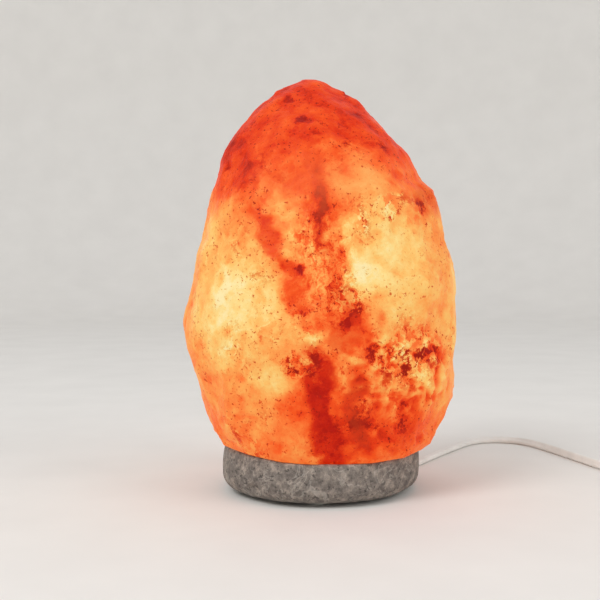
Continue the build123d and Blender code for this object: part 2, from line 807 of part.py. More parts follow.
def switch_rocker():
    """The rocker with its two sloping faces, tipped to on, round its pin."""
    half = rocker_length / 2
    tip = rocker_tip_angle / 2
    middle = rocker_height / 2
    ends = middle + half * math.tan(math.radians(tip))
    outline = make_face(Polyline([
        (0, middle), (half, ends), (half - rocker_round, -rocker_pin_radius), (half / 2, -middle),
        (-half / 2, -middle), (-half + rocker_round, -rocker_pin_radius), (-half, ends)], close=True))
    rocker = extrude(Plane.XZ * outline, rocker_width / 2, both=True)
    rocker -= Rot(90, 0, 0) * Cylinder(rocker_pin_radius + pin_gap, rocker_width)
    return Pos(switch_length / 2, 0, rocker_pin_height) * Rot(0, tip, 0) * rocker


def rocker_pin():
    length = rocker_width + 2 * running_gap + 2 * switch_wall
    return Pos(switch_length / 2, 0, rocker_pin_height) * Rot(90, 0, 0) * Cylinder(rocker_pin_radius, length)


def switch_screws():
    head = slotted_head(switch_screw_head_radius, switch_screw_head_height, 0)
    length = switch_entry_height + (switch_height - switch_entry_height) / 2 - switch_screw_head_height
    screw = head + rod(switch_screw_radius, length, switch_screw_head_height)
    return [Pos(x, y, 0) * screw for x, y in switch_screw_places()]


def lead_rod(start, end, side):
    middle = (start + end) / 2
    return Pos(middle, side * lead_spread, switch_entry_height) * Rot(0, 90, 0) * Cylinder(
        lead_radius, end - start)


def switch_leads():
    """The neutral lead runs through, and the live one is cut between the two contacts."""
    cut = (switch_length - contact_bar_length) / 2
    return [
        lead_rod(0, switch_length, -1),
        lead_rod(0, cut, 1),
        lead_rod(switch_length - cut, switch_length, 1),
    ]


def switch_contacts():
    """Two brass bars that lie on the ends of the cut lead."""
    bars = []
    for side in (-1, 1):
        middle = switch_length / 2 + side * (contact_bar_length / 2 + contact_bar_spread)
        bars.append(Pos(middle, lead_spread + contact_bar_width / 2 - lead_radius,
                        switch_entry_height + lead_radius) * Box(
            contact_bar_length / 2, contact_bar_width, contact_bar_thickness, align=ON_FLOOR))
    return bars


save("switch_base", at_switch * switch_base())
save("switch_cover", at_switch * switch_cover())
save("switch_rocker", at_switch * switch_rocker())
save("rocker_pin", at_switch * rocker_pin())
save("switch_screws", *[at_switch * screw for screw in switch_screws()])
save("switch_leads", *[at_switch * lead for lead in switch_leads()])
save("switch_contacts", *[at_switch * bar for bar in switch_contacts()])

# ================================================================ coil and the runs beside it
coil_straight = cord_width
to_coil = at_switch * Pos(switch_length + twist_length + coil_straight, 0, 0)
coil_centre = (to_coil * Pos(0, coil_outer, 0)).position
coil_start = switch_heading - 90


def coil_station(quarter):
    """The place and the direction of the cord's middle after so many quarter turns. The turns spiral
    in on the table and out again on top, and climb a layer in the half turn between."""
    last = coil_turns * 4
    turn = math.radians(coil_start + 90 * quarter)
    outward = Vector(math.cos(turn), math.sin(turn), 0)
    onward = Vector(-math.sin(turn), math.cos(turn), 0)
    radius = coil_outer - coil_pitch / 4 * min(quarter, last - quarter)
    rise = min(max((quarter - last / 2 + 1) / 2, 0), 1)
    height = coil_low + layer_step * rise * rise * (3 - 2 * rise)
    climb = layer_step * 3 * rise * (1 - rise)
    drift = 0 if quarter in (0, last / 2, last) else math.copysign(coil_pitch / 4, quarter - last / 2)
    place = coil_centre + outward * radius + Vector(0, 0, height)
    along = onward * (radius * math.pi / 2) + outward * drift + Vector(0, 0, climb)
    return place, along.normalized()


def biarc(start, start_along, end, end_along):
    """Two arcs that join smoothly and take the given directions at both ends."""
    across = end - start
    both = start_along + end_along
    straightness = 2 * (1 - start_along.dot(end_along))
    pull = across.dot(both)
    reach = (math.sqrt(pull * pull + straightness * across.dot(across)) - pull) / straightness
    first, second = start + start_along * reach, end - end_along * reach
    joint = (first + second) * 0.5
    return [
        Edge.make_tangent_arc(start, start_along, joint),
        Edge.make_tangent_arc(joint, (second - first).normalized(), end),
    ]


def coil_line():
    stations = [coil_station(quarter) for quarter in range(round(coil_turns * 4) + 1)]
    (start, start_along), (end, end_along) = stations[0], stations[-1]
    edges = [Edge.make_line(start - start_along * coil_straight, start)]
    for (place, along), (next_place, next_along) in zip(stations, stations[1:]):
        edges += biarc(place, along, next_place, next_along)
    edges.append(Edge.make_line(end, end + end_along * coil_straight))
    return Wire(edges)


def least_gap(line, spacing):
    """The least gap between two stretches of the coil, measured between points along it. The cord
    stands on edge, with round edges, so its upright flat part takes no sideways room."""
    count = int(line.length / spacing)
    points = [line @ (number / count) for number in range(count + 1)]
    apart = int(coil_inner * math.pi / spacing)
    least = coil_outer
    for number, point in enumerate(points):
        for other in points[number + apart:]:
            step = other - point
            upright = max(abs(step.Z) - (cord_width - cord_thickness), 0)
            least = min(least, math.hypot(step.X, step.Y, upright) - cord_thickness)
    return least


def cord_coil(line):
    along = line % 0
    start = Plane(origin=line @ 0, x_dir=(0, 0, 1), z_dir=along)
    solid = sweep(start * cord_section(), path=line)
    report_volume("cord_coil", solid, line.length)
    print(f"cord_coil: least gap to itself {least_gap(line, 1.5):.2f} mm")
    return solid


def coil_ties():
    """Each tie is a flat loop round all the turns, a quarter turn from where the cord comes in."""
    room = cord_thickness / 2 + tie_gap + tie_thickness
    inner, outer = coil_inner - room, coil_outer + room
    top = coil_low + layer_step + cord_width / 2 + tie_gap + tie_thickness
    loop = Pos((inner + outer) / 2, 0, 0) * Box(outer - inner, tie_width, top, align=ON_FLOOR)
    hole = Pos((inner + outer) / 2, 0, tie_thickness) * Box(
        outer - inner - 2 * tie_thickness, tie_width, top - 2 * tie_thickness, align=ON_FLOOR)
    middle = Pos(coil_centre.X, coil_centre.Y, 0)
    return [middle * Rot(0, 0, coil_start + turn) * (loop - hole) for turn in tie_turns]


coil_path = coil_line()
coil_end, coil_end_along = coil_path @ 1, coil_path % 1
end_heading = heading((0, 0), (coil_end_along.X, coil_end_along.Y))
at_coil_end = Pos(coil_end.X, coil_end.Y, 0) * Rot(0, 0, end_heading)
plug_middle = plug_thickness / 2

cord_tail = twisted_run("cord_tail", twist_length, switch_entry_height, coil_low, 0, 90)
cord_end = twisted_run("cord_end", twist_length, coil_low + layer_step, plug_middle, 90, 180)
save("cord_tail", at_switch * Pos(switch_length, 0, 0) * cord_tail)
save("cord_coil", cord_coil(coil_path))
save("cord_end", at_coil_end * cord_end)
save("coil_ties", *coil_ties())


# ================================================================ plug, from x = 0 along +X
def plug_boot():
    """The tapered strain relief."""
    sections = []
    for reach, wall in ((0, boot_start_wall), (boot_length, boot_end_wall)):
        plane = Plane(origin=(reach, 0, plug_middle), x_dir=(0, 1, 0), z_dir=(1, 0, 0))
        sections.append(plane * SlotOverall(cord_width + 2 * wall, cord_thickness + 2 * wall))
    return loft(sections)


def plug_pin_places():
    return [side * plug_pin_spacing / 2 for side in (-1, 1)]


def plug_rod(radius, start, end, side):
    middle = Pos((start + end) / 2, side, plug_middle)
    return middle * Rot(0, 90, 0) * Cylinder(radius, end - start)


def plug_body():
    face = boot_length + plug_length
    waist = boot_length + plug_waist * plug_length
    half_tail, half_nose = plug_tail_width / 2, plug_nose_width / 2
    outline = make_face(Polyline([
        (boot_length, -half_tail), (waist, -half_nose), (face, -half_nose),
        (face, half_nose), (waist, half_nose), (boot_length, half_tail)], close=True))
    body = extrude(outline, plug_thickness)
    body = fillet(body.edges(), plug_round)
    for side in plug_pin_places():
        body -= plug_rod(plug_pin_core_radius, face - plug_pin_root, face, side)
    return body


def plug_pins():
    face = boot_length + plug_length
    pins = []
    for side in plug_pin_places():
        pin = plug_rod(plug_pin_core_radius, face - plug_pin_root, face + plug_pin_sleeve, side)
        tip = plug_rod(plug_pin_radius, face + plug_pin_sleeve, face + plug_pin_length, side)
        end_rim = tip.edges().filter_by(GeomType.CIRCLE).sort_by(Axis.X)[-1]
        pins.append(pin + fillet(end_rim, plug_pin_tip_round))
    return pins


def plug_sleeves():
    face = boot_length + plug_length
    return [
        plug_rod(plug_sleeve_radius, face, face + plug_pin_sleeve, side)
        - plug_rod(plug_pin_core_radius, face, face + plug_pin_sleeve, side)
        for side in plug_pin_places()
    ]


at_plug = at_coil_end * Pos(twist_length, 0, 0)
save("plug_boot", at_plug * plug_boot())
save("plug_body", at_plug * plug_body())
save("plug_pins", *[at_plug * pin for pin in plug_pins()])
save("plug_sleeves", *[at_plug * sleeve for sleeve in plug_sleeves()])

rocker_axis = at_switch * Pos(switch_length / 2, 0, rocker_pin_height)
print(f"switch: heading {switch_heading:.3f} degrees, rocker pin at {rocker_axis.position}")
print(f"coil: middle {coil_centre}")
print(f"plug: heading {end_heading:.3f} degrees, boot starts at {at_plug.position}")
print(f"clips: pins at {clip_pin_reach:.2f} mm to each side, {clip_pin_height:.2f} mm up")
print(f"bulb: from {bulb_tip:.2f} to {bulb_tip + bulb_length:.2f} mm up")
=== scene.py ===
# %% [markdown]
# # A salt crystal lamp
#
# The lamp is a rough block of salt, hewn to a blunt point, on a round stone base. A bulb in its bore
# makes it glow. Everything measurable was made first as a packed frame of exact solids, and this
# notebook dresses that frame: rougher crystal and stone, a soft cord, and a finish for each piece.
# Blender works in metres, and every piece stays where the frame holds it.

# %% Load the frame
import math

import bmesh
import bpy
import numpy as np
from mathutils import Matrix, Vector, noise


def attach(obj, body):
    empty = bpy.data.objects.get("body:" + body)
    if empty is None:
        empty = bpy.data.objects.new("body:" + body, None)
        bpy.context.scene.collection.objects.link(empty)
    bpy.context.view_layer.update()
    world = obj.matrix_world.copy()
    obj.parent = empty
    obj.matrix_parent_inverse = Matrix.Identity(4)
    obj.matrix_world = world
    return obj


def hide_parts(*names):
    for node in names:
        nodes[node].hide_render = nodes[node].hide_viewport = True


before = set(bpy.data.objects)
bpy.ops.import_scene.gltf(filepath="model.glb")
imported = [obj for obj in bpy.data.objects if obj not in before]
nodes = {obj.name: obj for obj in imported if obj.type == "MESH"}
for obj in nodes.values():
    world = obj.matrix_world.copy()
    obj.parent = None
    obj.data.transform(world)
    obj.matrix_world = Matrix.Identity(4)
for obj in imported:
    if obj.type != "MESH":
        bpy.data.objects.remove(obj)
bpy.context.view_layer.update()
MM = 0.001
print("pieces in the frame:", len(nodes))

# %% [markdown]
# ## The camera
#
# The camera stands a little above the middle of the lamp, a little over half a metre away, and looks
# slightly down. A 63 mm lens on a 36 mm sensor gives the narrow angle of the picture. A camera can
# also be aimed at its subject by a constraint, but plain numbers are easier to fit to a picture.

# %% Camera
eye = Vector((-10.98, -586.0, 130.0)) * MM
look_down = 2.4    # degrees
camera_data = bpy.data.cameras.new("camera")
camera_data.lens = 62.94
camera_data.sensor_width = 36.0
camera = bpy.data.objects.new("camera", camera_data)
camera.location = eye
camera.rotation_euler = (math.radians(90 - look_down), 0, 0)
bpy.context.collection.objects.link(camera)
bpy.context.scene.camera = camera
print("camera at", tuple(round(value, 3) for value in eye))

# %% [markdown]
# ## The cord's route
#
# A flat twin cord keeps one line from the lampholder to the plug. It could be laid by a cloth or rope
# simulation, but then its place would be left to chance. A NURBS curve of order three makes one
# smooth line from a few chosen points. Each point also has a tilt: at 0 degrees the cord lies flat,
# at 90 degrees it stands on its edge, as it does in the coil and where it leaves the view.

# %% Route over the table
FLAT, EDGE = 0.0, 90.0             # tilt of the cord, in degrees
lie_flat, lie_edge = 1.65, 2.65    # height of its middle over the table, in mm
groove_turn = math.radians(43)     # direction of the groove under the base


def along_groove(reach, height=lie_flat):
    """A point of the line, reach millimetres from the axis in the direction of the groove."""
    return (reach * math.cos(groove_turn), reach * math.sin(groove_turn), height, FLAT)


route = [
    along_groove(45), along_groove(58), along_groove(80),
    (72.2, 79.4, lie_flat, FLAT), (89.5, 108.7, 1.75, 5.0), (107.5, 136.4, 2.0, 20.0),
    (126.5, 141.9, 2.15, 30.0), (144.5, 133.5, 2.3, 42.0), (156.5, 101.5, 2.6, 72.0),
    (166.5, 66.0, lie_edge, EDGE), (177.0, 33.0, 3.2, 60.0), (185.3, 17.0, 5.0, FLAT),
    (190.2, 7.6, 5.0, FLAT),
]
print("points over the table:", len(route))

# %% [markdown]
# The switch sits on the cord, so the line runs straight on through it at the height of the switch's
# middle. After the switch the cord comes down to the table and turns on its edge.

# %% Through the switch
heading = math.radians(-62.468)
onward = Vector((math.cos(heading), math.sin(heading), 0))
switch_start = Vector((190.2, 7.6, 0))


def straight_run(start, direction, stops):
    """Adds points to the route. Each stop is its distance from the start, its height and its tilt."""
    for reach, height, tilt in stops:
        place = start + direction * reach
        route.append((place.x, place.y, height, tilt))


straight_run(switch_start, onward, [
    (12, 5.0, FLAT), (48, 5.0, FLAT), (60, 5.0, FLAT), (73, 4.35, 45.0), (86, 3.7, EDGE)])
print("points as far as the coil:", len(route))

# %% [markdown]
# The rest of the cord is coiled up. It winds in, climbs a layer in half a turn, and winds out again
# on top, and then a short run leads to the plug. The radius and the height change all along such a
# coil, so a short rule places its points instead of a long list.

# %% Coil
# The radius of the outermost turn, the step from turn to turn and the heights are in mm.
coil_turns, coil_outer, coil_pitch = 7.5, 35.325, 3.8
coil_middle = Vector((263.681, -56.943, 0))
coil_low, layer_step, turn_points = 3.7, 5.8, 16


def coil_point(step):
    """One point of the coil, of sixteen in each turn."""
    quarter, last = step * 4 / turn_points, coil_turns * 4
    inward = min(quarter, last - quarter) / 4
    rise = min(max((quarter - last / 2 + 1) / 2, 0), 1)
    height = coil_low + layer_step * rise * rise * (3 - 2 * rise)
    # The curve runs a little inside its points, so they stand a little further out.
    radius = (coil_outer - coil_pitch * inward) / math.cos(math.pi / turn_points)
    turn = heading - math.pi / 2 + quarter * math.pi / 2
    x = coil_middle.x + radius * math.cos(turn)
    y = coil_middle.y + radius * math.sin(turn)
    return (x, y, height, EDGE)


route += [coil_point(step + 0.5) for step in range(int(coil_turns * turn_points))]
coil_exit = coil_middle + Vector((-math.sin(heading), math.cos(heading), 0)) * coil_outer
straight_run(coil_exit, -onward, [
    (1, 9.5, EDGE), (6, 9.5, EDGE), (18, 8.2, 135.0), (29, 6.8, 180.0), (36, 6.8, 180.0)])
print("points in the whole route:", len(route))

# %% [markdown]
# ## From line to cord
#
# The two cores of a flat cord lie side by side, so its section is a flattened figure of eight. A
# curve's own round bevel would make a single core. So a closed curve with the right outline is swept
# along the line, and the result is kept as a mesh.

# %% Section and sweep
def cord_profile(width, thickness, dip):
    """The outline of two joined cores, with a shallow groove between them."""
    corners = 28
    spread, sharp = 2.2, 1.5    # how the corners spread over the groove, and how sharp the groove is
    data = bpy.data.curves.new("section", "CURVE")
    data.dimensions = "2D"
    spline = data.splines.new("POLY")
    spline.points.add(corners - 1)
    core, shift = thickness / 2, (width - thickness) / 2
    for index, point in enumerate(spline.points):
        turn = 2 * math.pi * index / corners
        x = math.copysign(shift, math.cos(turn)) * min(1, abs(math.cos(turn)) * spread)
        x += core * math.cos(turn)
        y = core * math.sin(turn)
        y -= math.copysign(dip, y) * max(0, 1 - abs(x) / shift) ** sharp
        point.co = (x * MM, y * MM, 0, 1)
    spline.use_cyclic_u = True
    holder = bpy.data.objects.new("section", data)
    bpy.context.collection.objects.link(holder)
    return holder


def swept_cord(name, points, profile):
    """A tube along a NURBS line, and the points of that line."""
    data = bpy.data.curves.new(name + "_line", "CURVE")
    data.dimensions = "3D"
    data.twist_mode = "Z_UP"
    data.resolution_u = 6
    spline = data.splines.new("NURBS")
    spline.points.add(len(points) - 1)
    for point, (x, y, z, tilt) in zip(spline.points, points):
        point.co = (x * MM, y * MM, z * MM, 1)
        point.tilt = math.radians(tilt)
    spline.order_u = 3
    spline.use_endpoint_u = True
    line = bpy.data.objects.new(name + "_line", data)
    bpy.context.collection.objects.link(line)
    bare = bpy.data.meshes.new_from_object(line)
    path = [tuple(vertex.co) for vertex in bare.vertices]
    data.bevel_mode = "OBJECT"
    data.bevel_object = profile
    data.use_fill_caps = True
    bpy.context.view_layer.update()
    tube = bpy.data.meshes.new_from_object(line.evaluated_get(bpy.context.evaluated_depsgraph_get()))
    piece = bpy.data.objects.new(name, tube)
    bpy.context.collection.objects.link(piece)
    bpy.data.objects.remove(line)
    for face in tube.polygons:
        face.use_smooth = True
    return piece, path


section = cord_profile(width=5.2, thickness=3.2, dip=0.32)
cord, cord_path = swept_cord("cord", route, section)
cord_length = sum((Vector(b) - Vector(a)).length for a, b in zip(cord_path, cord_path[1:]))
print(f"cord: {cord_length:.3f} m, {len(cord.data.polygons)} faces")

# %% [markdown]
# Inside the lamp a short stretch of the same cord comes down from the clamp through the neck of the
# lampholder, bends under it, and runs out along the groove to meet the long cord. It could be the
# start of the long line, but this stretch is a solid of its own in the frame, so it is made as a
# piece of its own here too, with the same section.

# %% Cord inside the lamp
# Distance from the axis and height of each point, in mm.
bend = [(0, 29.2), (0, 22), (0, 13.5), (0.9, 4.2), (8, lie_flat), (22, lie_flat), (45, lie_flat)]
inner_cord, _ = swept_cord("cord_under_base", [along_groove(*point) for point in bend], section)
bpy.data.objects.remove(section)
print("cord under the base:", len(inner_cord.data.polygons), "faces")

# The solid tubes of the frame stay for the physics, and this mesh stands for them in pictures.

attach(cord, "fitting")
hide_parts("cord_lead", "cord_tail", "cord_coil", "cord_end")
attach(inner_cord, "fitting")
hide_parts("cord_inner")

# %% [markdown]
# ## Writing finishes
#
# Colours are read from a screen as numbers from 0 to 255, which aren't in proportion to the light. A
# shader needs linear values, so a small function turns the one into the other.

# %% Colours
def srgb(red, green, blue):
    """A colour as it is read from a picture, 0 to 255, in the linear values that a shader needs."""
    def linear(value):
        value /= 255
        return value / 12.92 if value <= 0.04045 else ((value + 0.055) / 1.055) ** 2.4
    return (linear(red), linear(green), linear(blue), 1.0)


print("a grey of 128 sends out", round(srgb(128, 128, 128)[0], 3), "of the light of white")

# %% [markdown]
# A finish could be a photo wrapped round the piece, but that needs an unwrapped mesh and goes soft
# up close. Here every finish is a chain of nodes on the object's own coordinates, so a pattern has a
# real size in millimetres on any mesh. A small helper keeps each chain to a few readable lines.

# %% Helper for materials
class Finish:
    """A material written as a chain of nodes. A value is a number or another node's output."""

    def __init__(self, name, roughness=0.5, metallic=0.0):
        self.material = bpy.data.materials.new(name)
        self.material.use_nodes = True
        self.tree = self.material.node_tree
        self.shader = self.tree.nodes["Principled BSDF"]
        self.shader.inputs["Roughness"].default_value = roughness
        self.shader.inputs["Metallic"].default_value = metallic
        self.place = self.add("ShaderNodeTexCoord").outputs["Object"]

    def feed(self, socket, value):
        """Links another node's output to an input, or gives the input a fixed value."""
        if isinstance(value, bpy.types.NodeSocket):
            self.tree.links.new(value, socket)
        else:
            socket.default_value = value

    def add(self, kind, inputs=(), **settings):
        node = self.tree.nodes.new(kind)
        for key, value in settings.items():
            setattr(node, key, value)
        for key, value in inputs:
            self.feed(node.inputs[key], value)
        return node

    def set(self, name, value):
        self.feed(self.shader.inputs[name], value)

    def noise(self, size, place=None, detail=4.0, rough=0.5, bend=0.0):
        """Cloudy noise whose clouds are about size millimetres."""
        node = self.add("ShaderNodeTexNoise", [
            ("Vector", place or self.place), ("Scale", 1000 / size), ("Detail", detail),
            ("Roughness", rough), ("Distortion", bend)])
        return node.outputs["Fac"]

    def cells(self, size, place):
        """Cells of about size millimetres, each with a colour of its own."""
        node = self.add("ShaderNodeTexVoronoi", [("Vector", place), ("Scale", 1000 / size)])
        return node.outputs["Color"]

    def math(self, operation, first, second=0.0, third=0.0, clamp=False):
        node = self.add("ShaderNodeMath", [(0, first), (1, second), (2, third)],
                        operation=operation, use_clamp=clamp)
        return node.outputs[0]

    def vector(self, operation, first, second):
        node = self.add("ShaderNodeVectorMath", [(0, first), (1, second)], operation=operation)
        return node.outputs["Vector"]

    def fade(self, value, start, end, low=0.0, high=1.0):
        """Goes smoothly from low, where the value is start, to high, where it is end."""
        node = self.add("ShaderNodeMapRange", [
            ("Value", value), ("From Min", start), ("From Max", end),
            ("To Min", low), ("To Max", high)], interpolation_type="SMOOTHSTEP")
        return node.outputs["Result"]

    def mix(self, share, first, second, blend="MIX"):
        # For colours, the mix node uses its inputs 0, 6 and 7 and its output 2.
        node = self.add("ShaderNodeMix", data_type="RGBA", blend_type=blend)
        for index, value in ((0, share), (6, first), (7, second)):
            self.feed(node.inputs[index], value)
        return node.outputs[2]

    def ramp(self, value, *stops):
        node = self.add("ShaderNodeValToRGB", [("Fac", value)])
        elements = node.color_ramp.elements
        elements[0].position, elements[0].color = stops[0]
        elements[1].position, elements[1].color = stops[-1]
        for position, color in stops[1:-1]:
            elements.new(position).color = color
        return node.outputs["Color"]

    def bump(self, height, depth, strength):
        """Relief of depth millimetres."""
        node = self.add("ShaderNodeBump", [
            ("Height", height), ("Distance", depth * MM), ("Strength", strength)])
        self.set("Normal", node.outputs["Normal"])

    def on(self, *pieces):
        """Puts the finish on pieces or on nodes of the frame."""
        for piece in pieces:
            piece = nodes[piece] if isinstance(piece, str) else piece
            if not piece.material_slots:
                piece.data.materials.append(self.material)
            for slot in piece.material_slots:
                slot.material = self.material
        print(self.material.name, "on", len(pieces), "pieces,", len(self.tree.nodes), "nodes")


print("a finish can use:", [name for name in vars(Finish) if not name.startswith("_")])

# %% [markdown]
# ## The salt crystal
#
# The block is split from rock with a hammer and a chisel, so it has broad hewn planes, soft ridges
# between them, and one crumbly patch where it broke unevenly. The frame's crystal has the right bulk
# and the right bore, but few faces. It could be sculpted by hand, but that can't be read or repeated.
# So a copy of it is remeshed into even little quads, and these are carved with arrays of numbers,
# which is quick for tens of thousands of points.

# %% An even mesh
def frame_copy(node, name, grain):
    """A merged copy of a frame node, remeshed into even faces of about grain millimetres."""
    work = bmesh.new()
    work.from_mesh(nodes[node].data)
    bmesh.ops.remove_doubles(work, verts=work.verts, dist=0.01 * MM)
    mesh = bpy.data.meshes.new(name)
    work.to_mesh(mesh)
    work.free()
    piece = bpy.data.objects.new(name, mesh)
    bpy.context.collection.objects.link(piece)
    remesh = piece.modifiers.new("even", "REMESH")
    remesh.mode = "VOXEL"
    remesh.voxel_size = grain * MM
    remesh.adaptivity = 0.0
    even = bpy.data.meshes.new_from_object(piece.evaluated_get(bpy.context.evaluated_depsgraph_get()))
    piece.modifiers.clear()
    piece.data = even
    for face in even.polygons:
        face.use_smooth = True
    print(name, len(even.polygons), "faces")
    return piece


def read_points(piece):
    """The mesh's points and normals, in millimetres, as two arrays."""
    count = len(piece.data.vertices)
    points, normals = np.empty(count * 3), np.empty(count * 3)
    piece.data.vertices.foreach_get("co", points)
    piece.data.vertex_normals.foreach_get("vector", normals)
    return points.reshape(-1, 3) / MM, normals.reshape(-1, 3)


def write_points(piece, points):
    piece.data.vertices.foreach_set("co", (points * MM).ravel())
    piece.data.update()


crystal = frame_copy("salt_crystal", "crystal", 1.45)
points, normals = read_points(crystal)

# %% [markdown]
# The flat places that the hammer left come with the frame's crystal. Here their sharp ridges are worn
# down a little, and noise adds the lumps between them. A displace modifier could add them too, but an
# array can also be told where not to carve: a weight keeps the bore and the flat underside as they are.

# %% Wear the ridges and carve the lumps
def ease(values, start, end):
    """Goes smoothly from 0 at the start to 1 at the end."""
    share = np.clip((values - start) / (end - start), 0, 1)
    return share * share * (3 - 2 * share)


def lumps(points, size, layers, seed):
    """Cloudy noise between about -1 and 1 at every point."""
    fall, finer = 0.9, 2.1    # each layer is 2.1 times as fine as the last and about half as strong
    return np.array([
        noise.fractal((x / size + seed, y / size - seed, z / size + 2 * seed), fall, finer, layers)
        for x, y, z in points])


def around(points):
    """The distance from the axis and the direction of every point."""
    return np.hypot(points[:, 0], points[:, 1]), np.arctan2(points[:, 1], points[:, 0])


def rim_lift(points):
    """How far the edge between crystal and base is lifted, in mm. The stone rises to the left and the
    right, and more to the left."""
    both_sides, more_left = 4.0, 1.4
    from_axis, turn = around(points)
    return ease(from_axis, 44, 54) * np.cos(turn) * (both_sides * np.cos(turn) - more_left)


seat = 23.0           # height of the crystal's underside, in mm
above_bore = 152.0    # above this height the crystal is solid
lump_height = 0.7
around_bore = ease(around(points)[0], 25.0, 32.0)
around_bore[points[:, 2] > above_bore] = 1.0
outside = around_bore * ease(points[:, 2], seat + 0.5, seat + 6.0)

worn = bmesh.new()
worn.from_mesh(crystal.data)
for _ in range(5):
    bmesh.ops.smooth_vert(worn, verts=worn.verts, factor=0.5,
                          use_axis_x=True, use_axis_y=True, use_axis_z=True)
soft_points = np.array([vertex.co[:] for vertex in worn.verts]) / MM
worn.free()
wear = (soft_points - points) * outside[:, None]
points += wear
points += normals * (outside * lumps(points, 21.0, 2, 3.1) * lump_height)[:, None]
print("ridges worn by up to", round(float(np.abs(wear).max()), 2), "mm")

# %% [markdown]
# The crumbly patch is low on the right of the front, and a second one is guessed on the back. Salt
# breaks there in grains, so it gets deep irregular pits. They are read from the distance to scattered
# points, at a warped place so that they don't line up. The rest gets shallow dimples, a fine grain
# and a few small chips.

# %% Carve the crumbly patch and the grain
def pits(points, size, seed):
    """The distance to the nearest of many scattered middles, about 0 to 1."""
    return np.array([
        noise.voronoi((x / size + seed, y / size, z / size))[0][0] for x, y, z in points])


def near(points, middle, reach, core=0.45):
    """1 at a place, fading to 0 at the given distances from it. The fade starts at the core."""
    away = np.sqrt((((points - np.array(middle)) / np.array(reach)) ** 2).sum(axis=1))
    return 1 - ease(away, core, 1.0)


# All depths are in mm.
pit_depth, crumb_depth = 3.4, 1.2
dimple_depth, grain_depth = 0.5, 0.3
chip_size, chip_depth = 0.32, 3.5
on_front = near(points, (42, -50, 69), (46, 46, 32))
on_back = near(points, (-40, 50, 90), (40, 40, 40))
crumbly = np.maximum(on_front, 0.6 * on_back) * outside
warped = points + lumps(points, 12.0, 2, 7.7)[:, None] * 4.0
fine = lumps(points, 5.0, 3, 9.2)
relief = crumbly * ((pits(warped, 7.0, 1.3) - 0.5) * pit_depth + fine * crumb_depth)
relief += (1 - crumbly) * outside * (lumps(points, 13.0, 3, 5.5) * dimple_depth + fine * grain_depth)
relief -= np.maximum(chip_size - pits(warped, 14.0, 4.4), 0) * outside * chip_depth
points += normals * relief[:, None]
points[:, 2] += rim_lift(points) * (1 - ease(points[:, 2], seat, seat + 16))
# The finish paints shade into the hollows and light onto the ridges, so the relief goes with the mesh.
hollow = crystal.data.attributes.new("relief", "FLOAT", "POINT")
hollow.data.foreach_set("value", relief.astype(np.float32))
print("crumbly share:", round(float(crumbly.mean()), 3), "relief", round(float(relief.min()), 2),
      "to", round(float(relief.max()), 2), "mm")

# %% [markdown]
# Carving moves the outline a little, so the last step checks it as the camera sees it. For some
# heights the picture gives how far the crystal reaches to the left and to the right. Each level is
# stretched from the axis until it reaches that far. A lattice could bend the block by eye, but this
# way the fit can be measured.

# %% Outline
# Height on the axis, reach to the left and to the right, in mm.
outline = np.array([
    (22.5, 53.5, 60), (24.5, 54.5, 62.5), (27.5, 56.5, 64), (32, 59.5, 66), (43.5, 64, 71.5),
    (51, 66.3, 74.8), (60.5, 68.5, 75.5), (83, 75, 76.4), (94, 76.4, 76.4), (105.5, 73.5, 75.8),
    (118, 70.5, 75.8), (131, 68.7, 72.8), (139, 66, 70), (161, 61.5, 65.5), (166.5, 60, 63.5),
    (172, 57.5, 57.8), (189, 53, 47.5), (200, 46, 36.5), (211, 36.5, 26.3), (219.5, 26.5, 17),
    (223.5, 21, 10.5), (226.5, 14, 6),
])
levels, reach_left, reach_right = outline.T
summit = 227.6
slice_half = 1.1    # half the thickness of the slice that is measured at each level
points[:, 2] -= ease(points[:, 2], 150, 225) * (points[:, 2].max() - summit)
eye_x, eye_y, eye_z = (value / MM for value in eye)
for _ in range(3):
    # Where each point seems to be, moved along its line of sight to the plane of the axis.
    depth = (points[:, 1] - eye_y) / -eye_y
    seen_x = (points[:, 0] - eye_x) / depth + eye_x
    seen_z = (points[:, 2] - eye_z) / depth + eye_z
    slices = [seen_x[np.abs(seen_z - height) < slice_half] for height in levels]
    now_left = np.array([-found.min() for found in slices])
    now_right = np.array([found.max() for found in slices])
    left = np.interp(seen_z, levels, reach_left / np.maximum(now_left, 4))
    right = np.interp(seen_z, levels, reach_right / np.maximum(now_right, 2))
    stretch = np.where(points[:, 0] < 0, left, right)
    # Near the axis the two sides meet, so the stretch fades there, and so it does at the underside.
    shown = around_bore * ease(points[:, 2], seat, seat + 1.5) * ease(np.abs(points[:, 0]), 0, 22)
    stretch = 1 + (np.clip(stretch, 0.8, 1.25) - 1) * shown
    points[:, 0] *= stretch
    print("largest change of the outline:", round(float(np.abs(stretch - 1).max()) * 100, 1), "%")
points[:, 2] = np.maximum(points[:, 2], seat)
write_points(crystal, points)
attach(crystal, "lamp")
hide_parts("salt_crystal")

# %% [markdown]
# ## The finish of the crystal
#
# Salt glows because the light of the bulb scatters in it. Where the wall is thin and clear it is
# pale yellow, and where it is thick it turns orange, then red. A volume shader could scatter the
# light for real, but it is slow and can't be told which places are clear. So the glow is written as
# one number at every place in the block, and a ramp turns that number into a colour.
#
# Clear and thick places are patches in space. A slow noise bends the space first, so that no patch
# has a smooth edge.

# %% Patches in bent space
salt = Finish("salt")
drift_scale, drift_reach = 60.0, 0.024    # clouds in a metre, and how far they bend it, in metres
drift = salt.add("ShaderNodeTexNoise", [
    ("Vector", salt.place), ("Scale", drift_scale), ("Detail", 4.0), ("Roughness", 0.6)])
drift = salt.vector("SUBTRACT", drift.outputs["Color"], (0.5, 0.5, 0.5))
drift = salt.vector("MULTIPLY", drift, (drift_reach, drift_reach, drift_reach))
bent = salt.vector("ADD", salt.place, drift)


